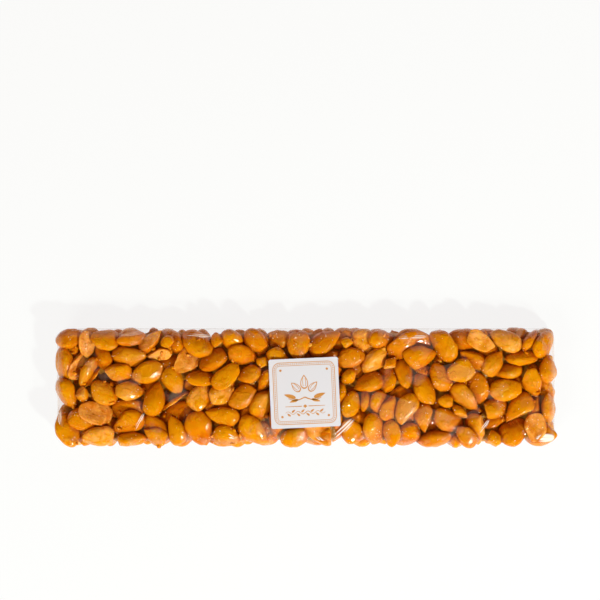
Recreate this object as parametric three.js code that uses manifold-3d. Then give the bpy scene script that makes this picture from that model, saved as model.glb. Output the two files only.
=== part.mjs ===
// A bar of caramelised almonds in tight clear film, with a square paper label on top.
// Millimetres, +Z up. The origin is the middle of the flat underside, and the length runs along X.

import * as THREE from 'three';
import { mergeVertices } from 'three/addons/utils/BufferGeometryUtils.js';
import Module from 'manifold-3d';

const wasm = await Module();
wasm.setup();

// ---- Driving dimensions ----

// The bar, over its almonds
const barLength = 287;
const barWidth = 68.5;
const barHeight = 20;
const sideWaver = 0.7;            // how far the long sides wander in and out

// The caramel that holds the almonds together
const caramelInset = 5;           // from the long sides and the ends
const caramelHeight = 14;
const caramelCorner = 6;

// A middling almond
const almondLength = 19.6;
const almondWidth = 13;
const almondThickness = 8.2;
const almondSides = 6;
const almondRings = 4;
const almondCount = 290;

// Whole almonds, split halves and broken chips, as shares of a whole almond's size
const kinds = {
  half: { share: 0.08, length: 1, width: 1, thickness: 0.5 },
  chip: { share: 0.14, length: 0.55, width: 0.62, thickness: 0.8 },
  whole: { share: 0.78, length: 1, width: 1, thickness: 1 },
};

// How the almonds are poured and pressed
const pourSeed = 8;
const pourJitter = 3;
const pourMargin = 4;             // from the tray's walls to the places of the poured almonds
const evenRatio = 1.2207440846;   // its first three inverse powers, as steps, fill a box evenly
const looseness = 1.7;            // height of the loose heap, in bar heights
const pressRounds = 160;
const pressShare = 0.55;          // share of the rounds in which the lid comes down
const largestTilt = THREE.MathUtils.degToRad(80);
const settleShare = 0.6;          // share of the rounds in which the almonds sink
const settleStep = 0.1;
const flatness = 1.5;             // above 1, more almonds lie flat
const shoulder = 0.3;             // how far an almond stands out of its ellipsoid
const bottomGap = 0.5;            // caramel under the lowest almonds

// The label
const labelSide = 40;
const labelCorner = 1.2;
const labelThickness = 0.3;
const labelGap = 0.3;             // between the highest almonds and the label
const labelCentre = new THREE.Vector2(-0.8, -2.5);
const labelTurn = THREE.MathUtils.degToRad(2.6);

// ---- Chance, the same on every run ----

let drawState = pourSeed;

function draw(low = 0, high = 1) {
  const modulus = 2147483647;
  drawState = (drawState * 48271) % modulus;
  return low + ((high - low) * drawState) / modulus;
}

// ---- The poured almonds, each held as an ellipsoid ----

function drawKind() {
  const chance = draw();
  if (chance < kinds.half.share) return kinds.half;
  return chance < kinds.half.share + kinds.chip.share ? kinds.chip : kinds.whole;
}

// The share of the way along one side of the heap at which the almond of this index lies
function evenShare(index, power) {
  return (0.5 + (index + 1) / evenRatio ** power) % 1;
}

function pourPlace(index) {
  const along = (evenShare(index, 1) - 0.5) * (barLength - 2 * pourMargin);
  const across = (evenShare(index, 2) - 0.5) * (barWidth - 2 * pourMargin);
  const up = (0.1 + 0.8 * evenShare(index, 3)) * barHeight * looseness;
  return new THREE.Vector3(
    along + draw(-1, 1) * pourJitter,
    across + draw(-1, 1) * pourJitter,
    up + draw(-1, 1) * pourJitter,
  );
}

function pourAlmond(_, index) {
  const size = draw(0.84, 1.14);
  const kind = drawKind();
  const halfSize = [
    (almondLength / 2) * size * kind.length * draw(0.93, 1.07),
    (almondWidth / 2) * size * kind.width * draw(0.88, 1.12),
    (almondThickness / 2) * size * kind.thickness * draw(0.88, 1.12),
  ];
  const taper = draw();
  const bend = draw(-1, 1);
  const centre = pourPlace(index);
  const yaw = draw(0, 2 * Math.PI);
  const tilt = largestTilt * draw() ** flatness;
  const tiltWay = draw(0, 2 * Math.PI);
  const flatWay = new THREE.Vector3(Math.cos(tiltWay), Math.sin(tiltWay), 0).multiplyScalar(Math.sin(tilt));
  flatWay.z = Math.cos(tilt);
  if (draw() < 0.5) flatWay.negate();
  const almond = { kind, halfSize, taper, bend, centre, axes: [] };
  setAxes(almond, new THREE.Vector3(Math.cos(yaw), Math.sin(yaw), 0), flatWay);
  return almond;
}

// The axes are the almond's length, its width and its thickness, each of length 1.
function setAxes(almond, longWay, flatWay) {
  const flat = flatWay.clone().normalize();
  const long = longWay.clone().addScaledVector(flat, -longWay.dot(flat)).normalize();
  almond.axes = [long, flat.clone().cross(long), flat];
}

// How far the almond reaches from its centre along a direction
function reach(almond, way) {
  const parts = almond.axes.map((axis, k) => axis.dot(way) * almond.halfSize[k]);
  return Math.sqrt(parts[0] ** 2 + parts[1] ** 2 + parts[2] ** 2);
}

// The almond's furthest point along a direction, from its centre
function furthestPoint(almond, way) {
  const point = new THREE.Vector3();
  almond.axes.forEach((axis, k) => point.addScaledVector(axis, axis.dot(way) * almond.halfSize[k] ** 2));
  return point.divideScalar(reach(almond, way));
}

// The direction that the almond's skin faces, on the side towards an offset from its centre
function skinWay(almond, offset) {
  const way = new THREE.Vector3();
  almond.axes.forEach((axis, k) => way.addScaledVector(axis, axis.dot(offset) / almond.halfSize[k] ** 2));
  return way.normalize();
}

// The direction in which two almonds overlap least, and by how much
function contact(first, second) {
  const offset = second.centre.clone().sub(first.centre);
  const skinOfFirst = skinWay(first, offset);
  const skinOfSecond = skinWay(second, offset);
  const between = skinOfFirst.clone().add(skinOfSecond).normalize();
  const ways = [offset.clone().normalize(), skinOfFirst, skinOfSecond, between];
  return ways
    .map((way) => ({ way, overlap: reach(first, way) + reach(second, way) - offset.dot(way) }))
    .reduce((least, other) => (other.overlap < least.overlap ? other : least));
}

// A push at an almond's skin moves it and turns it.
function pushAlmond(almond, point, push, turnShare) {
  const size = almond.halfSize;
  const inertia = ((size[0] ** 2 + size[1] ** 2 + size[2] ** 2) / 5) * 1.6;
  almond.move.add(push);
  almond.spin.addScaledVector(point.clone().cross(push), turnShare / inertia);
}

function pushApart(first, second) {
  const distance = first.centre.distanceTo(second.centre);
  if (distance >= first.halfSize[0] + second.halfSize[0]) return;
  const { way, overlap } = contact(first, second);
  if (overlap <= 0) return;
  const share = 0.25;
  pushAlmond(first, furthestPoint(first, way), way.clone().multiplyScalar(-overlap * share), 1);
  pushAlmond(second, furthestPoint(second, way).negate(), way.clone().multiplyScalar(overlap * share), 1);
}

// The walls of the tray, and the lid above it
function walls(almond, lid) {
  const x = almond.centre.x;
  const waver = sideWaver * Math.sin(x / 11) * Math.sin(x / 29 + 1);
  const end = barLength / 2 - shoulder;
  const side = barWidth / 2 - shoulder - sideWaver / 2;
  return [
    { way: new THREE.Vector3(1, 0, 0), low: -end, high: end },
    { way: new THREE.Vector3(0, 1, 0), low: waver - side, high: waver + side },
    { way: new THREE.Vector3(0, 0, 1), low: bottomGap, high: lid },
  ];
}

function pushInside(almond, lid, turnShare) {
  for (const { way, low, high } of walls(almond, lid)) {
    const place = almond.centre.dot(way);
    const size = reach(almond, way);
    const point = furthestPoint(almond, way);
    const over = Math.max(0, place + size - high);
    const under = Math.max(0, low - (place - size));
    pushAlmond(almond, point, way.clone().multiplyScalar(-over), turnShare);
    pushAlmond(almond, point.clone().negate(), way.clone().multiplyScalar(under), turnShare);
  }
}

function turnAlmond(almond) {
  const largestSpin = 0.15;
  const spin = almond.spin.clampLength(0, largestSpin);
  const [long, , flat] = almond.axes;
  setAxes(
    almond,
    long.clone().add(spin.clone().cross(long)),
    flat.clone().add(spin.clone().cross(flat)),
  );
}

function pressRound(almonds, lid, sinking) {
  for (const almond of almonds) {
    almond.move = new THREE.Vector3();
    almond.spin = new THREE.Vector3();
  }
  almonds.forEach((first, k) => {
    for (const second of almonds.slice(k + 1)) pushApart(first, second);
  });
  for (const almond of almonds) pushInside(almond, lid, 0.5);
  for (const almond of almonds) {
    almond.centre.add(almond.move);
    almond.centre.z -= sinking;
    turnAlmond(almond);
  }
}

// The almonds are poured loose into the tray, and a lid presses them down to the bar's height.
function pressedAlmonds() {
  const almonds = Array.from({ length: almondCount }, pourAlmond);
  const top = barHeight - shoulder;
  for (let round = 0; round < pressRounds; round += 1) {
    const still = Math.max(0, 1 - round / (pressRounds * pressShare));
    const sinking = round < pressRounds * settleShare ? settleStep : 0;
    pressRound(almonds, top * (1 + (looseness - 1) * still), sinking);
  }
  for (const almond of almonds) {
    almond.move = new THREE.Vector3();
    almond.spin = new THREE.Vector3();
    pushInside(almond, top, 0);
    almond.centre.add(almond.move);
  }
  return almonds;
}

// ---- Solids ----

function solidOf(geometry) {
  const bare = geometry.clone();
  bare.deleteAttribute('normal');
  bare.deleteAttribute('uv');
  const merged = mergeVertices(bare, 1e-4);
  return new wasm.Manifold(new wasm.Mesh({
    numProp: 3,
    vertProperties: merged.attributes.position.array,
    triVerts: new Uint32Array(merged.index.array),
  }));
}

function geometryOf(solid) {
  const mesh = solid.getMesh();
  const geometry = new THREE.BufferGeometry();
  geometry.setAttribute('position', new THREE.BufferAttribute(mesh.vertProperties, 3));
  geometry.setIndex(new THREE.BufferAttribute(mesh.triVerts, 1));
  geometry.computeVertexNormals();
  return geometry;
}

// An almond's half width along its length, from -1 at the round end to 1 at the tip
function almondProfile(along, taper) {
  const tipPower = 0.5 + 0.35 * taper;
  const widest = (0.5 - tipPower) / (0.5 + tipPower);
  const width = (place) => Math.sqrt(1 + place) * (1 - place) ** tipPower;
  return width(along) / width(widest);
}

// The profile is turned round the Y axis, pressed flat and bent a little along its width.
function almondSolid(almond) {
  const profile = [];
  for (let ring = 0; ring <= almondRings; ring += 1) {
    const along = -Math.cos((Math.PI * ring) / almondRings);
    const atEnd = ring === 0 || ring === almondRings;
    profile.push(new THREE.Vector2(atEnd ? 0 : almondProfile(along, almond.taper), along));
  }
  const geometry = new THREE.LatheGeometry(profile, almondSides);
  const [length, width, thickness] = almond.halfSize;
  const position = geometry.attributes.position;
  for (let k = 0; k < position.count; k += 1) {
    const along = position.getY(k);
    const bend = 0.16 * almond.bend * (along ** 2 - 0.4);
    position.setXYZ(k, (position.getX(k) + bend) * width, along * length, position.getZ(k) * thickness);
  }
  const [longWay, wideWay, flatWay] = almond.axes;
  const place = new THREE.Matrix4().makeBasis(wideWay, longWay, flatWay.clone().negate());
  place.setPosition(almond.centre);
  return solidOf(geometry.applyMatrix4(place));
}

function roundedRectangle(length, width, corner) {
  const x = length / 2 - corner;
  const y = width / 2 - corner;
  const quarter = Math.PI / 2;
  const shape = new THREE.Shape();
  shape.absarc(x, -y, corner, -quarter, 0);
  shape.absarc(x, y, corner, 0, quarter);
  shape.absarc(-x, y, corner, quarter, 2 * quarter);
  shape.absarc(-x, -y, corner, 2 * quarter, 3 * quarter);
  return shape;
}

function slab(length, width, height, corner) {
  const options = { depth: height, bevelEnabled: false, curveSegments: 4 };
  return new THREE.ExtrudeGeometry(roundedRectangle(length, width, corner), options);
}

// ---- The parts ----

// The almonds fused to their caramel, without the hollows that this closes or any loose scrap
function barGeometry() {
  const caramel = solidOf(slab(
    barLength - 2 * caramelInset,
    barWidth - 2 * caramelInset,
    caramelHeight,
    caramelCorner,
  ));
  const fused = wasm.Manifold.union([caramel, ...pressedAlmonds().map(almondSolid)]);
  const shells = fused.decompose();
  return geometryOf(shells.reduce((large, other) => (other.volume() > large.volume() ? other : large)));
}

function wrappedBar() {
  const material = new THREE.MeshStandardMaterial({ color: 0xc87214, roughness: 0.25, metalness: 0 });
  const mesh = new THREE.Mesh(barGeometry(), material);
  mesh.name = 'wrapped_bar';
  return mesh;
}

function label() {
  const material = new THREE.MeshStandardMaterial({ color: 0xe4deda, roughness: 0.5, metalness: 0 });
  const mesh = new THREE.Mesh(slab(labelSide, labelSide, labelThickness, labelCorner), material);
  mesh.name = 'label';
  mesh.position.set(labelCentre.x, labelCentre.y, barHeight + labelGap);
  mesh.rotation.z = labelTurn;
  return mesh;
}

const nougatBar = new THREE.Group();
nougatBar.add(wrappedBar(), label());

export default nougatBar;
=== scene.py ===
"""A bar of caramelised almonds in clear film, with a square paper label: the finished look.

The bar's length runs along X, its flat underside lies at Z = 0 and the label is on top.
"""

import math

import bpy
import numpy as np
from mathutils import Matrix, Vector


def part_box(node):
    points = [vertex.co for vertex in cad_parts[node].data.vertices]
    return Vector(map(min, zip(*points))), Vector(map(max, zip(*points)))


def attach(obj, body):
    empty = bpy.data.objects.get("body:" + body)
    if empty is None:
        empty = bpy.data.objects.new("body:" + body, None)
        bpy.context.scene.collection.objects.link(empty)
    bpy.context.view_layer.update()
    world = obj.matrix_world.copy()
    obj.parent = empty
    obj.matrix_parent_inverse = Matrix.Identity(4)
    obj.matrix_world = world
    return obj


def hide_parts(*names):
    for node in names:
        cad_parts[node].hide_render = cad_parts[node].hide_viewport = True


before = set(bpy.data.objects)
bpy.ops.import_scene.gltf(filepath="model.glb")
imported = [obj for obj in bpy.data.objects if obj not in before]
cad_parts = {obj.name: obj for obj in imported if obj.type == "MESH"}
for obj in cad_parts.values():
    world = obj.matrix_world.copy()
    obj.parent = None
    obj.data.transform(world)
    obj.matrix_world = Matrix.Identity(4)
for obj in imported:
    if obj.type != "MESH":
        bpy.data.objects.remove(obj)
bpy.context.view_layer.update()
LABEL_LOW, LABEL_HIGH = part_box("label")

bl_info = {
    "name": "Wrapped almond bar",
    "version": (1, 0, 0),
    "blender": (4, 5, 0),
    "location": "View3D > Sidebar > Almond Bar",
    "description": "Caramelised almonds pressed into a bar, wrapped in clear film and labelled",
    "category": "Add Mesh",
}

MM = 0.001
BODY = "root"
BAR_NODE = "wrapped_bar"
LABEL_NODE = "label"


def in_mm(size):
    """A size property, in exact thousandths of a millimetre."""
    return round(size / MM, 3)


def bar_size():
    """The bar's length, width and height, in mm."""
    tray = bpy.context.scene.almond_heap
    return in_mm(tray.length), in_mm(tray.width), in_mm(tray.height)


# ---- Properties ----


def length_property(name, description, default):
    """A length, with its default in mm."""
    return bpy.props.FloatProperty(
        name=name, description=description, default=default * MM, unit="LENGTH")


def share_property(name, description, default):
    return bpy.props.FloatProperty(
        name=name, description=description, default=default, subtype="FACTOR")


def power_property(name, description, default):
    return bpy.props.FloatProperty(
        name=name, description=description, default=default, unit="POWER")


def whole_property(name, description, default, least=0):
    """A whole number."""
    return bpy.props.IntProperty(name=name, description=description, default=default, min=least)


def colour_property(name, description, default):
    return bpy.props.FloatVectorProperty(
        name=name, description=description, default=default, subtype="COLOR", min=0, max=1)


class HeapSettings(bpy.types.PropertyGroup):
    """The tray that the almonds are pressed in. These sizes are those of the CAD part."""

    length: length_property("Length", "Bar length over its almonds", 287)
    width: length_property("Width", "Bar width over its almonds", 68.5)
    height: length_property("Height", "Height of the pressed bar", 20)
    waver: length_property("Side waver", "How far the long sides wander in and out", 0.7)
    almonds: whole_property("Almonds", "Number of almonds and pieces", 290, 1)
    almond_length: length_property("Almond length", "Length of a middling almond", 19.6)
    almond_width: length_property("Almond width", "Width of a middling almond", 13)
    almond_thickness: length_property("Almond thickness", "Thickness of a middling almond", 8.2)
    half_share: share_property("Halves", "Share of split halves", 0.08)
    chip_share: share_property("Chips", "Share of broken chips", 0.14)
    seed: whole_property("Seed", "Chooses how the almonds fall", 8, 1)


class AlmondSettings(bpy.types.PropertyGroup):
    """The almonds' shape and skin, and the small bits that stick to them."""

    lump: length_property("Lumps", "Depth of the uneven swellings", 0.55)
    furrow: length_property("Furrows", "Depth of the grooves along an almond", 0.09)
    cuts: whole_property("Cuts", "Most corners that an almond has lost", 3)
    broken_share: share_property("Broken", "Share of almonds with a broken end", 0.2)
    spread: share_property("Spread", "How far the pressed almonds are drawn out sideways", 0.02)
    crumbs: whole_property("Crumbs", "Number of small broken bits on the top", 60)
    # The grains are partly painted highlights: pale dots that stand in for tiny glints.
    grains_and_glints: whole_property("Grains", "Number of sugar grains that stick to the glaze", 460)
    seed: whole_property("Seed", "Chooses the cuts and the lumps", 31, 1)
    light: colour_property("Light", "Thinly glazed almond", (0.60, 0.231, 0.001))
    middle: colour_property("Middle", "Well glazed almond", (0.58, 0.187, 0.001))
    # Toasted and deep also serve as painted shade: the glaze turns to them on steep sides, deep in
    # the bar and where almonds meet.
    toasted: colour_property("Toasted", "Almond under a thicker glaze", (0.505, 0.130, 0.001))
    deep: colour_property("Deep", "Almond under thick caramel", (0.41, 0.100, 0.001))
    # Pale also colours the smears, which are painted sheen.
    pale: colour_property("Pale", "Broken faces, smears and pale almonds", (0.88, 0.42, 0.085))


class CaramelSettings(bpy.types.PropertyGroup):
    """The caramel between the almonds."""

    inset: length_property("Inset", "From the sides of the bar to the solid caramel", 5)
    core: length_property("Core", "Height of the solid caramel under the poured surface", 9.5)
    cell: length_property("Cell", "Cell size of the poured surface", 1.1)
    # Dark also serves as painted shade on caramel deep in the bar.
    dark: colour_property("Dark", "Thick caramel", (0.26, 0.106, 0.010))
    amber: colour_property("Amber", "Thin caramel", (0.52, 0.20, 0.010))


class FilmSettings(bpy.types.PropertyGroup):
    """The clear wrapping film."""

    gap: length_property("Gap", "From the almonds to the film", 0.12)
    cell: length_property("Cell", "Cell size of the film's mesh", 1.3)
    core: length_property("Core", "Height of the solid form inside the film", 14)


class LabelSettings(bpy.types.PropertyGroup):
    """The paper label and its print."""

    side: length_property("Side", "Side of the square", 40)
    corner: length_property("Corner", "Radius of the corners", 1.2)
    thickness: length_property("Thickness", "Thickness of the paper", 0.3)
    turn: bpy.props.FloatProperty(
        name="Turn", description="How far the label is turned", default=math.radians(2.6),
        subtype="ANGLE")
    paper: colour_property("Paper", "Colour of the paper", (0.555, 0.556, 0.632))
    ink: colour_property("Ink", "Colour of the print", (0.47, 0.19, 0.035))


class StageSettings(bpy.types.PropertyGroup):
    """The floor and the lights."""

    floor: length_property("Floor", "Side of the floor", 12000)
    soft_power: power_property("Soft light", "Power of the large front light", 7.4)
    hard_power: power_property("Hard light", "Power of the small front light", 20.5)
    sky: bpy.props.FloatProperty(
        name="Sky", description="Brightness of the surroundings near the horizon", default=1.08)


SETTINGS = {
    "almond_heap": HeapSettings,
    "almond_skin": AlmondSettings,
    "almond_caramel": CaramelSettings,
    "almond_film": FilmSettings,
    "almond_label": LabelSettings,
    "almond_stage": StageSettings,
}


# ---- Finishes ----


class Wire:
    """An output of a shader node, which can be used in Python expressions."""

    def __init__(self, finish, socket):
        self.finish = finish
        self.socket = socket

    def math(self, operation, first, second):
        return self.finish.node("ShaderNodeMath", {"operation": operation}, {0: first, 1: second})

    def __add__(self, other):
        return self.math("ADD", self, other)

    __radd__ = __add__

    def __sub__(self, other):
        return self.math("SUBTRACT", self, other)

    def __rsub__(self, other):
        return self.math("SUBTRACT", other, self)

    def __mul__(self, other):
        return self.math("MULTIPLY", self, other)

    __rmul__ = __mul__

    def __pow__(self, power):
        return self.math("POWER", self, power)

    def __abs__(self):
        return self.math("ABSOLUTE", self, 0)


class Finish:
    """A material or a world, and the nodes that make it."""

    def __init__(self, owner, end="ShaderNodeOutputMaterial"):
        self.owner = owner
        owner.use_nodes = True
        self.tree = owner.node_tree
        self.tree.nodes.clear()
        self.end = self.tree.nodes.new(end)

    def node(self, kind, settings=None, sockets=None, output=0):
        """A node of this kind: its settings first, then the values or wires of its sockets."""
        made = self.tree.nodes.new(kind)
        for name, value in (settings or {}).items():
            setattr(made, name, value)
        for name, value in (sockets or {}).items():
            if isinstance(value, Wire):
                self.tree.links.new(value.socket, made.inputs[name])
            else:
                made.inputs[name].default_value = value
        return Wire(self, made.outputs[output])

    def surface(self, shader):
        self.tree.links.new(shader.socket, self.end.inputs["Surface"])
        return self.owner

    def principled(self, sockets):
        """The finished material, from the values and wires of a Principled shader."""
        return self.surface(self.node("ShaderNodeBsdfPrincipled", {}, sockets))

    def object_place(self):
        """Where a point of the piece lies, in metres."""
        return self.node("ShaderNodeTexCoord", output="Object")

    def parts(self, vector):
        """A vector's X, Y and Z."""
        node = self.node("ShaderNodeSeparateXYZ", {}, {"Vector": vector}).socket.node
        return [Wire(self, output) for output in node.outputs]

    def attribute(self, name, output="Fac"):
        return self.node("ShaderNodeAttribute", {"attribute_name": name}, output=output)

    def noise(self, place, scale, detail=2.0, roughness=0.5, swirl=0.0):
        sockets = {"Vector": place, "Scale": scale, "Detail": detail, "Roughness": roughness}
        return self.node("ShaderNodeTexNoise", {}, {**sockets, "Distortion": swirl})

    def between(self, value, low, high, first=0.0, last=1.0):
        """The value's place between low and high, eased and kept within first and last."""
        sockets = {
            "Value": value, "From Min": low, "From Max": high, "To Min": first, "To Max": last,
        }
        return self.node("ShaderNodeMapRange", {"interpolation_type": "SMOOTHSTEP"}, sockets)

    def mix_colour(self, share, first, second):
        first = first if isinstance(first, Wire) else (*first, 1)
        second = second if isinstance(second, Wire) else (*second, 1)
        sockets = {0: share, 6: first, 7: second}
        return self.node("ShaderNodeMix", {"data_type": "RGBA"}, sockets, output=2)

    def stretched(self, place, stretch):
        return self.node("ShaderNodeMapping", {}, {"Vector": place, "Scale": stretch})

    def bump(self, height, distance, strength=1.0):
        sockets = {"Height": height, "Distance": distance, "Strength": strength}
        return self.node("ShaderNodeBump", {}, sockets)


def new_finish(name):
    return Finish(bpy.data.materials.new(name))


# How much each cause adds to the glaze on an almond. The steep, depth and pool terms are partly
# thicker glaze and partly painted shade: they darken and redden steep sides, almonds deep in the
# bar and places where almonds meet.
MOTTLE_GLAZE = 0.4
BLOTCH_GLAZE = 0.1
FURROW_GLAZE = 0.15
TONE_GLAZE = -0.42
PLAIN_GLAZE = 0.185
STEEP_GLAZE_AND_SHADE = 0.15
DEPTH_GLAZE_AND_SHADE = 0.8
POOL_GLAZE_AND_SHADE = 0.6
THICKEST_GLAZE = 1.5
PALENESS = 0.6             # of a painted sheen, and of the palest almonds


def glaze_colour(finish, glaze_and_shade):
    """The almond's colour, from thinly to thickly glazed; the thick end also serves as painted
    shade.
    """
    skin = bpy.context.scene.almond_skin
    steps = ((0.0, 0.35, skin.middle), (0.3, 0.65, skin.toasted), (0.6, 1.0, skin.deep))
    colour = skin.light
    for low, high, deeper in steps:
        colour = finish.mix_colour(finish.between(glaze_and_shade, low, high), colour, deeper)
    return colour


def glazed_almond():
    """Blanched almond under a coat of caramel: mottled, furrowed and paler where it is broken.

    The glaze is thicker on steep sides, low in the bar and where almonds meet; that darkening is
    partly painted shade.
    """
    skin = bpy.context.scene.almond_skin
    finish = new_finish("glazed_almond")
    grain = finish.attribute("kernel_place", "Vector")
    tone = finish.attribute("tone")
    depth = finish.attribute("depth")
    broken = finish.attribute("broken")
    pool_and_shade = finish.attribute("pool_and_shade")
    upward = finish.attribute("upward")
    mottle = finish.noise(grain, 0.13, 2.0, 0.5, 1.0)
    blotch = finish.noise(grain, 0.34, 3.0, 0.6, 0.8)
    furrows = finish.noise(finish.stretched(grain, (0.10, 1.0, 1.0)), 0.6, 2.0, 0.5)
    uneven = mottle * MOTTLE_GLAZE + blotch * BLOTCH_GLAZE + furrows * FURROW_GLAZE
    uneven = uneven + tone * TONE_GLAZE + PLAIN_GLAZE
    # Painted shade: steep sides, almonds deep in the bar and places near other almonds get a
    # darker, redder glaze.
    cover_and_shade = uneven + (1 - upward) * STEEP_GLAZE_AND_SHADE + depth * DEPTH_GLAZE_AND_SHADE + pool_and_shade * POOL_GLAZE_AND_SHADE
    colour = glaze_colour(finish, finish.between(cover_and_shade, 0.0, THICKEST_GLAZE))
    # Painted sheen: pale smears that stand for the blurred reflection of a light in the glaze.
    painted_sheen = finish.between(finish.noise(grain, 0.24, 4.0, 0.7), 0.62, 0.72)
    painted_sheen = painted_sheen * finish.between(finish.noise(grain, 1.3, 2.0), 0.40, 0.60)
    paler = finish.between(tone, 0.88, 0.97) * finish.between(mottle, 0.35, 0.6) * PALENESS
    colour = finish.mix_colour((painted_sheen * PALENESS + paler) * (1 - depth), colour, skin.pale)
    bare = finish.between(mottle + blotch * 0.5, 0.60, 0.95, 0.1, 0.75)
    colour = finish.mix_colour(broken * bare, colour, skin.pale)
    crinkled = finish.between(finish.noise(grain, 0.20, 1.0), 0.49, 0.57)
    ripple = finish.noise(grain, 1.5, 1.0, 0.6) * crinkled
    return finish.principled({
        "Base Color": colour,
        "Roughness": finish.between(blotch, 0.3, 0.7, 0.05, 0.10),
        "Normal": finish.bump(furrows * 0.2 + ripple, 0.4 * MM),
        "Specular IOR Level": 0.5,
        "Subsurface Weight": 0.6,
        "Subsurface Radius": (1.0, 0.45, 0.05),
        "Subsurface Scale": 1.4 * MM,
    })


def sugar_grain_and_glint():
    """Boiled sugar: pale, glassy and slightly amber; the pale grains also stand in for tiny glints,
    as painted highlights.
    """
    pale, amber = (0.98, 0.88, 0.72), (0.92, 0.70, 0.42)
    finish = new_finish("sugar_grain_and_glint")
    cloud = finish.noise(finish.object_place(), 900.0, 2.0)
    return finish.principled({
        "Base Color": finish.mix_colour(finish.between(cloud, 0.35, 0.65), pale, amber),
        "Roughness": finish.between(cloud, 0.3, 0.7, 0.2, 0.35),
        "Specular IOR Level": 1.0,
    })


def amber_caramel():
    """Clear brown caramel, darkest where it is thick and deep in the bar, with tiny bubbles; the
    darkening deep in the bar is partly painted shade.
    """
    caramel = bpy.context.scene.almond_caramel
    finish = new_finish("amber_caramel")
    place = finish.object_place()
    cloud = finish.noise(place, 160.0, 3.0)
    # Painted shade: the caramel darkens deep in the bar, partly as thicker caramel.
    thick = finish.between(finish.attribute("depth") * 0.8 + cloud * 0.6, 0.35, 1.05)
    bubbles = finish.noise(place, 1400.0, 2.0)
    swells = finish.noise(place, 420.0, 1.0)
    return finish.principled({
        "Base Color": finish.mix_colour(thick, caramel.amber, caramel.dark),
        "Roughness": 0.12,
        "Normal": finish.bump(swells + bubbles * 0.3, 0.35 * MM, 0.7),
        "Specular IOR Level": 0.5,
    })


def wrapping_folds(finish, place):
    """Steps where the film is folded over itself: two flaps at each end, and the seam below."""
    tray = bpy.context.scene.almond_heap
    half_length, half_width = tray.length / 2, tray.width / 2
    upper_from = tray.height / 2 - 2 * MM
    lower_to = tray.height / 2 + 2 * MM
    diagonal = tray.height - half_width
    edge = 0.3 * MM
    along, across, up = finish.parts(place)
    aside = abs(across)
    end = finish.between(abs(along), half_length - 1.5 * MM, half_length - MM)
    upper_side = finish.between(up - aside, diagonal, diagonal + edge)
    upper = finish.between(up, upper_from, upper_from + edge)
    lower_side = finish.between(up + aside, half_width, half_width - edge)
    lower = finish.between(up, lower_to, lower_to - edge)
    seam = finish.between(across, 4 * MM, 4 * MM + edge) * finish.between(up, 3 * MM, 2 * MM)
    return end * (upper * upper_side + lower * lower_side) + seam


CRINKLES = (
    # place in mm, turn in degrees, half length and half width in mm, how full of painted glint
    ((21.9, -23.4), 46, 9.0, 2.6, 0.02),
    ((138.6, -28.8), 5, 6.5, 3.0, 0.14),
    ((8.7, -30.4), -38, 4.5, 1.6, 0.04),
    ((-142.6, -20.0), 86, 9.0, 1.5, 0.0),
    ((-96.0, -19.0), 62, 6.0, 1.4, 0.0),
    ((-45.0, -27.0), -30, 5.0, 1.6, 0.0),
    ((103.0, -22.0), 55, 5.5, 1.4, 0.0),
    ((62.0, 29.5), 4, 9.0, 1.6, 0.0),
    ((-62.0, 30.5), -3, 8.0, 1.4, 0.0),
)


def crinkle_glints(finish, place):
    """Painted white glints, in streaks at the few spots where the film is pinched."""
    top = bpy.context.scene.almond_heap.height
    glint_streaks = 0
    for (across, along), turn, half_length, half_width, glint_fullness in CRINKLES:
        local = finish.node("ShaderNodeMapping", {"vector_type": "TEXTURE"}, {
            "Vector": place,
            "Location": (across * MM, along * MM, top),
            "Rotation": (0, 0, math.radians(turn)),
            "Scale": (half_length * MM, half_width * MM, 12 * MM),
        })
        spread = finish.node("ShaderNodeVectorMath", {"operation": "LENGTH"}, {0: local}, "Value")
        folds = finish.noise(finish.stretched(local, (0.35, 3.2, 0)), 1.0, 1.0)
        # Painted glint: white streaks where the pinched film mirrors a light.
        painted_glint = finish.between(folds, 0.47 - glint_fullness, 0.58 - glint_fullness)
        glint_streaks = glint_streaks + finish.between(spread, 1.0, 0.6) * painted_glint
    return glint_streaks


def milk_and_reflections(finish, place):
    """How milky the film is: faint patches, more along the long edges, most at the two ends. It is
    partly the film's own haze and partly painted reflection: the straight-edged patches and the
    band along the long edges are painted reflections of the bright surroundings.
    """
    tray = bpy.context.scene.almond_heap
    along, across, _ = finish.parts(place)
    patches = finish.node("ShaderNodeTexVoronoi", {}, {
        "Vector": finish.stretched(place, (42.0, 70.0, 70.0)),
        "Scale": 1.0,
    }, "Color")
    chance, second_chance, _ = finish.parts(patches)
    # Painted reflection: straight-edged patches where the film mirrors the bright surroundings.
    reflection_patches = finish.between(chance, 0.86, 0.92, 0.0, 0.03)
    cloud = finish.between(finish.noise(place, 75.0, 3.0), 0.58, 0.74, 0.0, 0.065)
    # Painted reflection: a band along the long edges, where the film slopes down and mirrors the
    # bright surroundings.
    long_edges = finish.between(abs(across), tray.width / 2 - 6 * MM, tray.width / 2 - 2 * MM)
    edge_reflection = long_edges * finish.between(second_chance, 0.3, 0.5, 0.02, 0.08)
    pulls = finish.noise(finish.stretched(place, (700.0, 45.0, 45.0)), 1.0, 2.0)
    ends = finish.between(abs(along), tray.length / 2 - 4 * MM, tray.length / 2 + 1.5 * MM)
    end_haze = ends * finish.between(pulls, 0.35, 0.65, 0.08, 0.26)
    return reflection_patches + cloud + edge_reflection + end_haze


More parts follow.
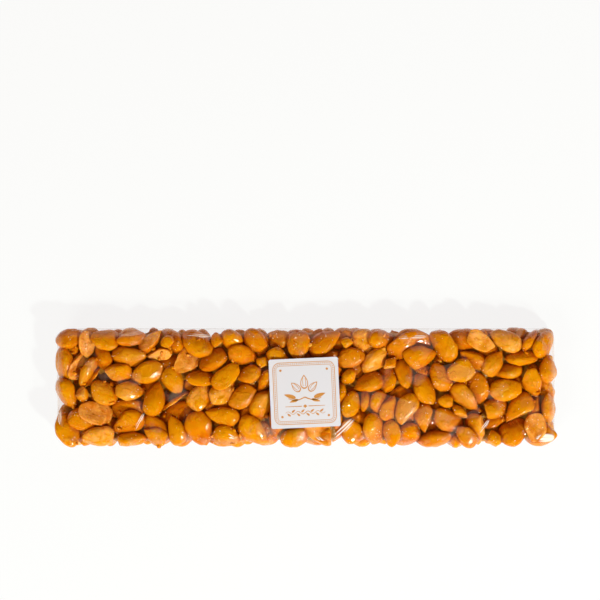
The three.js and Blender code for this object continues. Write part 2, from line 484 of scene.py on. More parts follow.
def clear_film():
    """Thin clear film: seen through straight on, bright where it mirrors the lights, and painted
    milky white in places with haze, painted reflections and painted glints.
    """
    milk_and_reflection_colour = (0.88, 0.78, 0.71, 1)
    finish = new_finish("clear_film")
    place = finish.object_place()
    creases = finish.noise(finish.stretched(place, (90.0, 260.0, 260.0)), 1.0, 3.0, 0.6)
    ripples = finish.noise(place, 600.0, 2.0)
    glint_streaks = crinkle_glints(finish, place)
    height = creases + ripples * 0.4 + wrapping_folds(finish, place) * 2 + glint_streaks
    relief = finish.bump(height, 0.3 * MM, 0.7)
    slant = finish.node("ShaderNodeLayerWeight", {}, {"Blend": 0.5, "Normal": relief}, "Facing")
    mirror = slant**3 * 0.25 + 0.005
    clear = finish.node("ShaderNodeBsdfTransparent")
    gloss = finish.node("ShaderNodeBsdfAnisotropic", {}, {"Roughness": 0.08, "Normal": relief})
    glass = finish.node("ShaderNodeMixShader", {}, {0: mirror, 1: clear, 2: gloss})
    milk_and_reflection = finish.node("ShaderNodeBsdfDiffuse", {}, {"Color": milk_and_reflection_colour})
    # The white share paints haze, reflections and glints that look the same from every side.
    share = milk_and_reflections(finish, place) + glint_streaks * 0.75
    return finish.surface(finish.node("ShaderNodeMixShader", {}, {0: share, 1: glass, 2: milk_and_reflection}))


def label_paper():
    """White paper with a faint cloud of another tint and fine fibres."""
    label = bpy.context.scene.almond_label
    cloud_tint = (0.535, 0.551, 0.637)
    finish = new_finish("label_paper")
    place = finish.object_place()
    fibres = finish.noise(place, 900.0, 4.0, 0.7)
    cloud = finish.between(finish.noise(place, 40.0, 2.0), 0.35, 0.65) * 0.5
    return finish.principled({
        "Base Color": finish.mix_colour(cloud, label.paper, cloud_tint),
        "Roughness": finish.between(fibres, 0.3, 0.7, 0.75, 0.9),
        "Normal": finish.bump(fibres, 0.03 * MM, 0.4),
        "Specular IOR Level": 0.05,
    })


def gold_ink():
    """Brown-gold ink, speckled lighter."""
    label = bpy.context.scene.almond_label
    speckle = (0.60, 0.28, 0.07)
    finish = new_finish("gold_ink")
    grain = finish.noise(finish.object_place(), 2500.0, 2.0)
    return finish.principled({
        "Base Color": finish.mix_colour(finish.between(grain, 0.35, 0.7), label.ink, speckle),
        "Roughness": finish.between(grain, 0.3, 0.7, 0.35, 0.5),
        "Metallic": 0.1,
    })


def pale_floor():
    """An even white floor that glows, so that shadows on it stay faint."""
    return new_finish("pale_floor").principled({
        "Base Color": (0.09, 0.095, 0.095, 1),
        "Roughness": 0.6,
        "Specular IOR Level": 0.0,
        "Emission Color": (1, 1, 1, 1),
        "Emission Strength": 0.86,
    })


# ---- The pressed heap of almonds ----


class Draws:
    """Random numbers that are the same on every run, and the same as in the CAD source."""

    def __init__(self, seed):
        self.state = seed

    def between(self, low=0.0, high=1.0):
        modulus = 2147483647
        self.state = self.state * 48271 % modulus
        return low + (high - low) * self.state / modulus


def dot(first, second):
    return np.sum(first * second, axis=-1, keepdims=True)


def unit(ways):
    return ways / np.sqrt(dot(ways, ways))


class Heap:
    """Almonds held as ellipsoids: centres, axes (length, width, thickness) and half sizes in mm."""

    def __init__(self, centres, axes, halves):
        self.centres = centres
        self.axes = axes
        self.halves = halves

    def pick(self, which):
        return Heap(self.centres[which], self.axes[which], self.halves[which])

    def along_axes(self, ways):
        return np.einsum("nkx,nx->nk", self.axes, ways)

    def reach(self, ways):
        """How far each almond reaches from its centre along its way."""
        parts = self.along_axes(ways) * self.halves
        return np.sqrt(dot(parts, parts))

    def furthest(self, ways):
        """Each almond's furthest point along its way, from its centre."""
        shares = self.along_axes(ways) * self.halves**2
        return np.einsum("nk,nkx->nx", shares, self.axes) / self.reach(ways)

    def skin_ways(self, offsets):
        """The way that each almond's skin faces, on the side towards an offset from its centre."""
        shares = self.along_axes(offsets) / self.halves**2
        return unit(np.einsum("nk,nkx->nx", shares, self.axes))

    def set_axes(self, long_ways, flat_ways):
        flat = unit(flat_ways)
        long = unit(long_ways - flat * dot(long_ways, flat))
        self.axes = np.stack([long, np.cross(flat, long), flat], axis=1)


# The pouring and the pressing, as in the CAD source. Lengths are in mm.
KIND_SIZES = {"whole": (1, 1, 1), "half": (1, 1, 0.5), "chip": (0.55, 0.62, 0.8)}
SIZE_RANGE = (0.84, 1.14)
LENGTH_RANGE = (0.93, 1.07)
GIRTH_RANGE = (0.88, 1.12)
MOST_TILT = 80             # degrees
LOOSENESS = 1.7            # height of the loose heap, in bar heights
EVEN_RATIO = 1.2207440846  # its first three inverse powers, as steps, fill a box evenly
POUR_JITTER = 3.0
POUR_MARGIN = 4.0
SHOULDER = 0.3             # how far an almond stands out of its ellipsoid
BOTTOM_GAP = 0.5
WAVER_LENGTHS = (11, 29)   # the two waves along the sides
PRESS_ROUNDS = 160
PRESS_SHARE = 0.55         # of the rounds, until the lid is down
SETTLE_SHARE = 0.6         # of the rounds, while the almonds sink
SETTLE_STEP = 0.1
PUSH_SHARE = 0.25          # of an overlap, taken back by each almond in a round
TURN_DRAG = 1.6            # how much harder an almond turns than one alone
WALL_TURN_SHARE = 0.5
MOST_TURN = 0.15           # radians in a round

# Beyond the CAD source: the spread, and what an almond has lost.
END_SPREAD = 0.8           # of the spread across the bar, along it
SQUARENESS = (1.9, 2.5)    # 2 gives a round section and more a squarer one
CORNER_WAYS = (1.0, 0.9, 0.3)  # how far a cut's way leans along length, width and thickness
CORNER_PLACES = (0.78, 0.94)
CORNER_FLATNESS = 0.8
BREAK_WAYS = (1.0, 0.9, 0.35)
BREAK_PLACES = (0.45, 0.75)
BREAK_FLATNESS = 0.96
ROUGH_FLATNESS = 0.9       # flatter cuts than this leave a rough broken face


def draw_cut(chance, ways, places, flatness):
    """A way, where the cut starts as a share of the almond's reach, and how flat it is."""
    return unit(chance.normal(size=3) * ways), chance.uniform(*places), flatness


def add_cuts(heap):
    """Draws how square each kernel's section is, and the corners and ends that it has lost."""
    skin = bpy.context.scene.almond_skin
    chance = np.random.default_rng(skin.seed)
    heap.squareness = chance.uniform(*SQUARENESS, len(heap.kinds))
    heap.cuts = []
    for kind in heap.kinds:
        corners = range(chance.integers(0, skin.cuts + 1))
        cuts = [draw_cut(chance, CORNER_WAYS, CORNER_PLACES, CORNER_FLATNESS) for _ in corners]
        breaks = range(2 if kind == "chip" else int(chance.random() < skin.broken_share))
        cuts += [draw_cut(chance, BREAK_WAYS, BREAK_PLACES, BREAK_FLATNESS) for _ in breaks]
        heap.cuts.append(cuts)


def pour():
    """The loose heap, with each almond's kind, taper and bend."""
    tray = bpy.context.scene.almond_heap
    draws = Draws(tray.seed)
    middling = [in_mm(tray.almond_length), in_mm(tray.almond_width), in_mm(tray.almond_thickness)]
    length, width, height = bar_size()
    room = [length, width, height * LOOSENESS]
    half_share = round(tray.half_share, 6)
    chip_share = round(tray.chip_share, 6)
    rows = []
    for index in range(tray.almonds):
        size = draws.between(*SIZE_RANGE)
        chance = draws.between()
        kind = "chip" if chance < half_share + chip_share else "whole"
        kind = "half" if chance < half_share else kind
        spread = [draws.between(*ends) for ends in (LENGTH_RANGE, GIRTH_RANGE, GIRTH_RANGE)]
        halves = [m / 2 * size * k * s for m, k, s in zip(middling, KIND_SIZES[kind], spread)]
        taper = draws.between()
        bend = draws.between(-1, 1)
        even = [(0.5 + (index + 1) / EVEN_RATIO**power) % 1 for power in (1, 2, 3)]
        centre = [
            (even[0] - 0.5) * (room[0] - 2 * POUR_MARGIN) + draws.between(-1, 1) * POUR_JITTER,
            (even[1] - 0.5) * (room[1] - 2 * POUR_MARGIN) + draws.between(-1, 1) * POUR_JITTER,
            (0.1 + 0.8 * even[2]) * room[2] + draws.between(-1, 1) * POUR_JITTER,
        ]
        yaw = draws.between(0, 2 * math.pi)
        tilt = math.radians(MOST_TILT) * draws.between() ** 1.5
        way = draws.between(0, 2 * math.pi)
        side = -1 if draws.between() < 0.5 else 1
        flat = [side * math.sin(tilt) * math.cos(way), side * math.sin(tilt) * math.sin(way)]
        flat.append(side * math.cos(tilt))
        rows.append((centre, [math.cos(yaw), math.sin(yaw), 0.0], flat, halves, kind, taper, bend))
    centres, longs, flats, halves, kinds, tapers, bends = (list(column) for column in zip(*rows))
    heap = Heap(np.array(centres), None, np.array(halves))
    heap.set_axes(np.array(longs), np.array(flats))
    heap.kinds = np.array(kinds)
    heap.tapers = np.array(tapers)
    heap.bends = np.array(bends)
    add_cuts(heap)
    return heap


def contacts(heap):
    """The pairs of almonds that overlap, with the way and the depth of each overlap."""
    first, second = np.triu_indices(len(heap.centres), 1)
    offsets = heap.centres[second] - heap.centres[first]
    near = np.sqrt(dot(offsets, offsets))[:, 0] < heap.halves[first, 0] + heap.halves[second, 0]
    first, second, offsets = first[near], second[near], offsets[near]
    ones, others = heap.pick(first), heap.pick(second)
    one_skin, other_skin = ones.skin_ways(offsets), others.skin_ways(offsets)
    ways = np.stack([unit(offsets), one_skin, other_skin, unit(one_skin + other_skin)])
    depths = np.stack([ones.reach(w) + others.reach(w) - dot(w, offsets) for w in ways])
    least = np.argmin(depths[:, :, 0], axis=0)
    row = np.arange(len(first))
    ways, depths = ways[least, row], depths[least, row]
    hit = depths[:, 0] > 0
    return first[hit], second[hit], ways[hit], depths[hit]


def wall_pushes(heap, length, width, lid):
    """For each pair of walls: where each almond touches them and how far it is pushed back."""
    waver = in_mm(bpy.context.scene.almond_heap.waver)
    along = heap.centres[:, 0]
    short, long = WAVER_LENGTHS
    drift = waver * np.sin(along / short) * np.sin(along / long + 1)
    end = length / 2 - SHOULDER
    side = width / 2 - SHOULDER - waver / 2
    walls = [(-end, end), (drift - side, drift + side), (BOTTOM_GAP, lid)]
    for axis, (low, high) in enumerate(walls):
        ways = np.zeros_like(heap.centres)
        ways[:, axis] = 1
        reach = heap.reach(ways)[:, 0]
        points = heap.furthest(ways)
        place = heap.centres[:, axis]
        over = np.maximum(0, place + reach - high)[:, None]
        under = np.maximum(0, low - (place - reach))[:, None]
        yield points, -ways * over
        yield -points, ways * under


def press():
    """The almonds, poured into a tray and pressed by a lid as in the CAD source, then spread."""
    length, width, height = bar_size()
    top = height - SHOULDER
    heap = pour()
    inertia = dot(heap.halves, heap.halves) / 5 * TURN_DRAG
    for turn in range(PRESS_ROUNDS):
        lid = top * (1 + (LOOSENESS - 1) * max(0, 1 - turn / (PRESS_ROUNDS * PRESS_SHARE)))
        moves = np.zeros_like(heap.centres)
        spins = np.zeros_like(heap.centres)
        first, second, ways, depths = contacts(heap)
        pushes = ways * depths * PUSH_SHARE
        one_points = heap.pick(first).furthest(ways)
        other_points = -heap.pick(second).furthest(ways)
        np.add.at(moves, first, -pushes)
        np.add.at(moves, second, pushes)
        np.add.at(spins, first, np.cross(one_points, -pushes) / inertia[first])
        np.add.at(spins, second, np.cross(other_points, pushes) / inertia[second])
        for points, wall_push in wall_pushes(heap, length, width, lid):
            moves += wall_push
            spins += np.cross(points, wall_push) / inertia * WALL_TURN_SHARE
        heap.centres = heap.centres + moves
        if turn < PRESS_ROUNDS * SETTLE_SHARE:
            heap.centres[:, 2] -= SETTLE_STEP
        amount = np.sqrt(dot(spins, spins))
        spins *= np.minimum(1, MOST_TURN / np.maximum(amount, 1e-9))
        long, flat = heap.axes[:, 0], heap.axes[:, 2]
        heap.set_axes(long + np.cross(spins, long), flat + np.cross(spins, flat))
    for _, wall_push in list(wall_pushes(heap, length, width, top)):
        heap.centres = heap.centres + wall_push
    spread = bpy.context.scene.almond_skin.spread
    heap.centres = heap.centres * (1 + spread * END_SPREAD, 1 + spread, 1)
    heap.halves = heap.halves * (1 + spread, 1 + spread, 1)
    return heap


# ---- Mesh helpers ----


def deselect_all():
    if bpy.context.object is not None and bpy.context.object.mode != "OBJECT":
        bpy.ops.object.mode_set(mode="OBJECT")
    bpy.ops.object.select_all(action="DESELECT")


def activate(piece):
    deselect_all()
    piece.select_set(True)
    bpy.context.view_layer.objects.active = piece


def add_mesh(name, points, faces, smooth=True):
    """A new object with this mesh, from points in mm."""
    mesh = bpy.data.meshes.new(name)
    mesh.from_pydata((points * MM).tolist(), [], faces)
    mesh.update()
    piece = bpy.data.objects.new(name, mesh)
    bpy.context.scene.collection.objects.link(piece)
    if smooth:
        mesh.shade_smooth()
    return piece


def add_attribute(piece, name, values):
    """A number or a vector for each point of the mesh."""
    kind, key = ("FLOAT", "value") if values.ndim == 1 else ("FLOAT_VECTOR", "vector")
    attribute = piece.data.attributes.new(name, kind, "POINT")
    attribute.data.foreach_set(key, values.astype(np.float32).ravel())


def points_of(piece):
    """The mesh's points, in mm."""
    flat = np.empty(len(piece.data.vertices) * 3, np.float32)
    piece.data.vertices.foreach_get("co", flat)
    return flat.reshape(-1, 3).astype(float) / MM


def set_points(piece, points):
    piece.data.vertices.foreach_set("co", (points * MM).astype(np.float32).ravel())
    piece.data.update()


def apply_modifier(piece, kind, **settings):
    activate(piece)
    modifier = piece.modifiers.new(kind.lower(), kind)
    for name, value in settings.items():
        setattr(modifier, name, value)
    bpy.ops.object.modifier_apply(modifier=modifier.name)


def place_in_mesh(piece):
    """Moves the object's place, turn and size into its mesh."""
    activate(piece)
    bpy.ops.object.transform_apply(location=True, rotation=True, scale=True)


def depth_in_bar(points):
    """How deep points lie under the bar's top and sides, as a share of one almond's thickness."""
    length, width, height = bar_size()
    one_layer = 7.0
    bottom = -1.0
    behind_end = length / 2 - np.abs(points[:, 0])
    behind_side = width / 2 - np.abs(points[:, 1])
    below_top = height - points[:, 2]
    above_bottom = points[:, 2] - bottom
    nearest = np.minimum.reduce([below_top, behind_side, behind_end, above_bottom])
    return np.clip(nearest / one_layer, 0, 1)


def normals_of(piece):
    flat = np.empty(len(piece.data.vertices) * 3, np.float32)
    piece.data.vertices.foreach_get("normal", flat)
    return flat.reshape(-1, 3)


def finish_piece(piece, finish, node=BAR_NODE):
    piece.data.materials.clear()
    piece.data.materials.append(finish)
    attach(piece, BODY)
    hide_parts(node)


# ---- Almonds ----


def kernel_faces(rings, sides):
    """The faces of a closed kernel: a fan at each end and rings of quads between."""
    faces = [(0, 1 + (k + 1) % sides, 1 + k) for k in range(sides)]
    for row in range(rings - 2):
        start = 1 + row * sides
        for k in range(sides):
            low, high = start + k, start + (k + 1) % sides
            faces.append((low, high, high + sides, low + sides))
    last = 1 + (rings - 1) * sides
    start = last - sides
    faces += [(last, start + k, start + (k + 1) % sides) for k in range(sides)]
    return faces


def kernel_profile(along, taper):
    """Half width along the kernel, from -1 at its round end to 1 at its tip."""
    tip_power = 0.5 + 0.43 * taper

    def width(place):
        return np.sqrt(1 + place) * (1 - place) ** tip_power

    return width(along) / width((0.5 - tip_power) / (0.5 + tip_power))


def rounded(share, squareness):
    """A cosine or a sine drawn out towards its ends, which squares a round outline."""
    return np.sign(share) * np.abs(share) ** (2 / squareness)


BEND = 0.16            # most that a kernel bends sideways, as a share of its half width
BEND_MIDDLE = 0.4      # keeps a bent kernel about centred
HALF_DEPTH = 1.4       # how far down a split half reaches
RIM_RISE = 0.55        # of a split half's face, in half thicknesses
DISH_DEPTH = 0.35      # in the middle of that face


def kernel_points(heap, index, rings, sides):
    """A kernel's points in shares of its half sizes: along its length, width and thickness."""
    squareness = heap.squareness[index]
    bend = BEND * heap.bends[index]
    along = -np.cos(np.pi * np.arange(1, rings) / rings)
    angle = 2 * np.pi * np.arange(sides) / sides
    radius = kernel_profile(along, heap.tapers[index])[:, None]
    wide = radius * rounded(np.cos(angle), squareness) + (bend * (along**2 - BEND_MIDDLE))[:, None]
    upper = rounded(np.sin(angle), squareness)
    if heap.kinds[index] == "half":
        across = np.abs(np.cos(angle))
        dish = RIM_RISE * np.sqrt(1 - across**6) - DISH_DEPTH * (1 - across**2)
        upper = np.where(upper > 0, dish, upper * HALF_DEPTH)
    thick = radius * upper
    body = np.stack([np.broadcast_to(along[:, None], wide.shape), wide, thick], axis=-1)
    ends = [[[place, bend * (1 - BEND_MIDDLE), 0]] for place in (-1, 1)]
    return np.concatenate([ends[0], body.reshape(-1, 3), ends[1]])


SWELL_WAVES = 6
SWELL_LENGTHS = (0.7, 1.6)
SWELL_HEIGHT = 1.6


def swell(points, chance, wavelength):
    """A smooth uneven field from about -1 to 1 over points in mm."""
    ways = unit(chance.normal(size=(SWELL_WAVES, 3)))
    lengths = wavelength * chance.uniform(*SWELL_LENGTHS, SWELL_WAVES)
    phases = chance.uniform(0, 2 * np.pi, SWELL_WAVES)
    waves = np.sin(points @ ways.T * (2 * np.pi / lengths) + phases)
    return waves.mean(axis=1) * SWELL_HEIGHT


def break_off(points, cuts):
    """Flattens what lies beyond each cut, and tells which points lie on a rough broken face."""
    broken = np.zeros(len(points), bool)
    for way, share, flatness in cuts:
        place = points @ way
        beyond = np.maximum(0, place - share * place.max())
        points = points - np.outer(beyond * flatness, way)
        if flatness > ROUGH_FLATNESS:
            broken |= beyond > 0
    return points, broken


GROOVES = (5, 8, 11)                # waves round a kernel, laid over each other
LUMPS = ((1.2, 1.0), (0.5, 0.4))    # length in the almond's half lengths, and share of depth
USUAL_HALF_WIDTH = 6.5              # mm, of an almond with full lumps
SPLIT_FROM = 0.03                   # height of a split half's pale face, in half thicknesses
SPLIT_PALENESS = 0.8


def shape_kernel(heap, index, rings, sides, chance):
    """One kernel: its points in the bar and where they lie in it, in mm, and two shares.

    The shares say how broken each point is, and how near it lies to the other almonds.
    """
    skin = bpy.context.scene.almond_skin
    halves = heap.halves[index]
    shape = kernel_points(heap, index, rings, sides)
    points = shape * halves
    normals = unit(points / halves**2)
    angle = np.arctan2(shape[:, 2], shape[:, 1])
    grooves = sum(np.cos(angle * n + chance.uniform(0, 6.3)) for n in GROOVES) / len(GROOVES)
    relief = in_mm(skin.furrow) * grooves * np.clip(1 - shape[:, 0] ** 2, 0, 1)
    for length, share in LUMPS:
        lumps = swell(points, chance, halves[0] * length)
        relief += in_mm(skin.lump) * share * lumps * (halves[1] / USUAL_HALF_WIDTH)
    points, broken = break_off(points + normals * relief[:, None], heap.cuts[index])
    placed = heap.centres[index] + points @ heap.axes[index]
    split = (heap.kinds[index] == "half") * (shape[:, 2] > SPLIT_FROM) * SPLIT_PALENESS
    # Nearness to other almonds darkens the glaze there: partly a caramel pool, partly painted
    # shade.
    pool_and_shade = nearness(placed, heap, index)
    return placed, points + chance.uniform(-500, 500, 3), np.maximum(broken, split), pool_and_shade


POOL_WIDTH = 2.0                    # mm


def nearness(points, heap, own):
    """How close points lie to the other almonds: 1 where they touch, 0 from the pool's width."""
    reach = heap.halves[:, 0] + heap.halves[own, 0] + POOL_WIDTH
    offsets = heap.centres - heap.centres[own]
    near = np.sqrt(dot(offsets, offsets))[:, 0] < reach
    near[own] = False
    closest = np.full(len(points), np.inf)
    for other in np.flatnonzero(near):
        local = (points - heap.centres[other]) @ heap.axes[other].T
        share = np.sqrt(dot(local / heap.halves[other], local / heap.halves[other]))[:, 0]
        gap = (1 - 1 / np.maximum(share, 0.01)) * np.sqrt(dot(local, local))[:, 0]
        closest = np.minimum(closest, gap)
    return np.clip(1 - closest / POOL_WIDTH, 0, 1)


LOWEST = 0.2                        # mm, of the almonds above the floor


def keep_in_tray(points):
    """Presses what stands out of the tray flat against its walls."""
    length, width, height = bar_size()
    spread = bpy.context.scene.almond_skin.spread
    end = length / 2 * (1 + spread * END_SPREAD)
    side = width / 2 * (1 + spread)
    return np.clip(points, (-end, -side, LOWEST), (end, side, height))


def repeated(faces, times, step):
    """The faces of this many like meshes, whose points follow one another in steps."""
    return [
        tuple(corner + order * step for corner in face)
        for order in range(times) for face in faces
    ]


def almonds_piece(name, heap, chosen, rings, sides):
    """One piece of the chosen almonds, with what their finish reads at each point."""
    chance = np.random.default_rng(bpy.context.scene.almond_skin.seed + len(chosen))
    kernels = [shape_kernel(heap, index, rings, sides, chance) for index in chosen]
    points, places, broken, pool_and_shade = (np.concatenate(parts) for parts in zip(*kernels))
    step = len(points) // len(chosen)
    points = keep_in_tray(points)
    piece = add_mesh(name, points, repeated(kernel_faces(rings, sides), len(chosen), step))
    add_attribute(piece, "kernel_place", places)
    add_attribute(piece, "tone", np.repeat(chance.random(len(chosen)), step))
    add_attribute(piece, "broken", broken)
    add_attribute(piece, "upward", normals_of(piece)[:, 2].clip(0, 1))
    add_attribute(piece, "pool_and_shade", pool_and_shade)
    add_attribute(piece, "depth", depth_in_bar(points))
    return piece


# ---- Operators for the almonds, the caramel and the film ----


class ALMONDBAR_OT_almonds(bpy.types.Operator):
    """Add the whole almonds, the split halves and the broken chips"""

    bl_idname = "almondbar.almonds"
    bl_label = "Add Almonds"

    def execute(self, context):
        heap = press()
        finish = glazed_almond()
        slim = heap.halves[:, 1] < np.median(heap.halves[:, 1])
        whole = heap.kinds == "whole"
        groups = {
            "slim_almonds": (whole & slim, 24, 32),
            "broad_almonds": (whole & ~slim, 24, 32),
            "split_almonds": (heap.kinds == "half", 24, 32),
            "almond_chips": (heap.kinds == "chip", 16, 24),
        }
        pieces = []
        for name, (chosen, rings, sides) in groups.items():
            pieces.append(almonds_piece(name, heap, np.flatnonzero(chosen), rings, sides))
            finish_piece(pieces[-1], finish)
        skin = context.scene.almond_skin
        bits = scatter(pieces, skin.crumbs, most=1, apart=0, sizes=(0.7, 1.9), below=2)
        crumbs = almonds_piece("crumbs", bits, range(len(bits.kinds)), 6, 9)
        finish_piece(crumbs, finish)
        # Pale sugar grains: partly real grains, partly painted highlights that stand in for tiny
        # glints.
        bits = scatter(pieces, skin.grains_and_glints, most=3, apart=2.4, sizes=(0.15, 0.31), below=0.3)
        grains_and_glints = almonds_piece("sugar_grains_and_glints", bits, range(len(bits.kinds)), 4, 6)
        finish_piece(grains_and_glints, sugar_grain_and_glint())
        return {"FINISHED"}


SCATTER_FROM = 9.0      # mm above the floor


def scatter(pieces, count, most, apart, sizes, below):
    """Small bits, half sunk into the almonds under them, in groups of one up to the most.

    Lengths are in mm: how far apart a group's bits fall, the least and most half size, and
    how far below the bar's top the bits stay.
    """
    length, width, top = bar_size()
    chance = np.random.default_rng(bpy.context.scene.almond_skin.seed + count)
    centres = []
    while len(centres) < count:
        place = chance.uniform(-length / 2, length / 2), chance.uniform(-width / 2, width / 2)
        for _ in range(chance.integers(1, most + 1)):
            start = np.array([*place, top + 5]) + chance.normal(size=3) * (apart, apart, 0)
            hits = [piece.ray_cast(Vector(start) * MM, (0, 0, -1)) for piece in pieces]
            heights = [point.z / MM for hit, point, _, _ in hits if hit]
            if heights and SCATTER_FROM < max(heights) < top - below:
                centres.append([start[0], start[1], max(heights)])
    count = len(centres)
    heap = Heap(np.array(centres), None, chance.uniform(*sizes, (count, 3)))
    heap.set_axes(chance.normal(size=(count, 3)), chance.normal(size=(count, 3)))
    heap.kinds = np.full(count, "chip")
    heap.tapers = chance.random(count)
    heap.bends = chance.uniform(-1, 1, count)
    add_cuts(heap)
    return heap


def add_block(name, size, centre, corner):
    """A box with rounded edges, from sizes in mm."""
    deselect_all()
    bpy.ops.mesh.primitive_cube_add(size=1, location=Vector(centre) * MM)
    block = bpy.context.object
    block.name = name
    block.scale = Vector(size) * MM
    place_in_mesh(block)
    bpy.ops.object.mode_set(mode="EDIT")
    bpy.ops.mesh.select_all(action="SELECT")
    bpy.ops.mesh.bevel(offset=corner * MM, segments=3, affect="EDGES")
    bpy.ops.object.mode_set(mode="OBJECT")
    return block


FILLER_RINGS = 10
FILLER_SIDES = 16
CORE_BOTTOM = 1.5       # mm
CORE_CORNER = 2.0
SPLIT_FACE = 0.05       # height of a split half's flat face, in half thicknesses


def add_filler(name, heap, size_share, swelling, core_height, cell):
    """One closed skin round the almonds, at a share of their size, and a solid core.

    The kernels are swollen before they are joined, so the skin bridges narrow gaps between them.
    """
    points = []
    for index, halves in enumerate(heap.halves):
        shape = kernel_points(heap, index, FILLER_RINGS, FILLER_SIDES)
        normals = unit(shape / halves)
        if heap.kinds[index] == "half":
            shape[:, 2] = np.minimum(shape[:, 2], SPLIT_FACE)
        whole, _ = break_off(shape * halves, heap.cuts[index])
        around = (whole * size_share + normals * swelling) @ heap.axes[index]
        points.append(heap.centres[index] + around)
    faces = repeated(kernel_faces(FILLER_RINGS, FILLER_SIDES), len(points), len(points[0]))
    kernels = add_mesh(name, np.concatenate(points), faces)
    length, width, _ = bar_size()
    inset = in_mm(bpy.context.scene.almond_caramel.inset)
    size = (length - 2 * inset, width - 2 * inset, core_height)
    core = add_block(name + "_core", size, (0, 0, core_height / 2 + CORE_BOTTOM), CORE_CORNER)
    activate(kernels)
    core.select_set(True)
    bpy.ops.object.join()
    apply_modifier(kernels, "REMESH", mode="VOXEL", voxel_size=cell)
    if swelling > 0:
        apply_modifier(kernels, "DISPLACE", strength=-swelling * MM, mid_level=0)
    set_points(kernels, keep_in_tray(points_of(kernels)))
    return kernels


SINK_FROM = 9.0         # mm above the floor, where the caramel starts to sink
SINK_HEIGHT = 7.0       # over which it sinks more and more
SINK_DEPTH = 3.4
CARAMEL_BOTTOM = 0.15


class ALMONDBAR_OT_caramel(bpy.types.Operator):
    """Add the caramel that fills the gaps between the almonds"""

    bl_idname = "almondbar.caramel"
    bl_label = "Add Caramel"

    def execute(self, context):
        settings = context.scene.almond_caramel
        piece = add_filler(
            "caramel", press(), size_share=(0.96, 0.93, 0.9), swelling=1.5,
            core_height=in_mm(settings.core), cell=settings.cell)
        apply_modifier(piece, "SMOOTH", factor=0.5, iterations=5)
        points = points_of(piece)
        rise = np.clip((points[:, 2] - SINK_FROM) / SINK_HEIGHT, 0, 1)
        points[:, 2] -= SINK_DEPTH * rise**2 * (3 - 2 * rise)
        points[:, 2] = np.maximum(points[:, 2], CARAMEL_BOTTOM)
        set_points(piece, points)
        piece.data.shade_smooth()
        add_attribute(piece, "depth", depth_in_bar(points))
        finish_piece(piece, amber_caramel())
        return {"FINISHED"}


def draw_onto(film, target, mode, group=""):
    """Moves the film to its gap from the target."""
    apply_modifier(
        film, "SHRINKWRAP", target=target, wrap_method="NEAREST_SURFACEPOINT",
        wrap_mode=mode, offset=bpy.context.scene.almond_film.gap, vertex_group=group)


FILM_ROUNDS = 8
FILM_EXTRA = (2, -4, -1)    # mm, as all lengths here: the loose film's size over the bar's
FILM_CORNER = 3.5
FILM_SHIFT = 2.4            # of the loose film towards the back, where it stays looser
FILM_TOP = 0.25             # most above the bar's height
FILM_BOTTOM = 0.05
FORM_CELL = 0.9             # cell size of the form that the film is drawn onto
FRONT_FULL = 5              # width along the front edge where the film clings fully
FRONT_EASE = 8              # width next to it where that eases out


class ALMONDBAR_OT_film(bpy.types.Operator):
    """Add the tight clear film round the bar"""

    bl_idname = "almondbar.film"
    bl_label = "Add Film"

    def execute(self, context):
        settings = context.scene.almond_film
        length, width, height = bar_size()
        target = add_filler(
            "wrapped_form", press(), size_share=(1, 1, 1), swelling=0,
            core_height=in_mm(settings.core), cell=FORM_CELL * MM)
        size = Vector((length, width, height)) + Vector(FILM_EXTRA)
        film = add_block("film", size, (0, FILM_SHIFT, height / 2), FILM_CORNER)
        apply_modifier(film, "REMESH", mode="VOXEL", voxel_size=settings.cell)
        for _ in range(FILM_ROUNDS):
            apply_modifier(film, "SMOOTH", factor=0.5, iterations=6)
            draw_onto(film, target, "OUTSIDE")
        self.cling(film, target)
        bpy.data.objects.remove(target)
        points = points_of(film)
        points[:, 2] = np.clip(points[:, 2], FILM_BOTTOM, height + FILM_TOP)
        set_points(film, points)
        film.data.shade_smooth()
        finish_piece(film, clear_film())
        return {"FINISHED"}

    @staticmethod
    def cling(film, target):
        """Draws the film in along the front edge, where it is tightest round the almonds."""
        across = points_of(film)[:, 1]
        share = np.clip((across.min() + FRONT_FULL + FRONT_EASE - across) / FRONT_EASE, 0, 1)
        group = film.vertex_groups.new(name="front")
        for index in np.flatnonzero(share > 0):
            group.add([int(index)], float(share[index]), "REPLACE")
        draw_onto(film, target, "ABOVE_SURFACE", "front")
        apply_modifier(film, "SMOOTH", factor=0.5, iterations=4)
        draw_onto(film, target, "OUTSIDE")
        film.vertex_groups.clear()


# ---- Label ----

SQUARE_CORNERS = ((1, 1), (-1, 1), (-1, -1), (1, -1))
CORNER_STEPS = 8
OUTLINE_POINTS = 28


def ring(radius, count):
    """Points round a circle."""
    angles = 2 * np.pi * np.arange(count) / count
    return np.stack([np.cos(angles), np.sin(angles)], axis=1) * radius


def rounded_square(half, corner):
    """The outline of a square with round corners, in mm."""
    outline = []
    for quarter, way in enumerate(SQUARE_CORNERS):
        middle = np.array(way) * (half - corner)
        angles = np.pi / 2 * quarter + np.pi / 2 * np.arange(CORNER_STEPS + 1) / CORNER_STEPS
        outline.append(middle + np.stack([np.cos(angles), np.sin(angles)], axis=1) * corner)
    return np.concatenate(outline)


def turned(points, turn):
    """Flat points turned about the middle."""
    spin = np.array([[math.cos(turn), -math.sin(turn)], [math.sin(turn), math.cos(turn)]])
    return points @ spin.T


def almond_outline(length, width, turn, middle):
    """An almond seen from the side: round below and pointed above."""
    half = OUTLINE_POINTS // 2
    along = -np.cos(np.pi * np.arange(half + 1) / half)
    across = kernel_profile(np.clip(along, -1, 1), 0.9) * width / 2
    up = along * length / 2
    right = np.stack([across, up], axis=1)
    left = np.stack([-across, up], axis=1)[-2:0:-1]
    return turned(np.concatenate([right, left]), turn) + middle


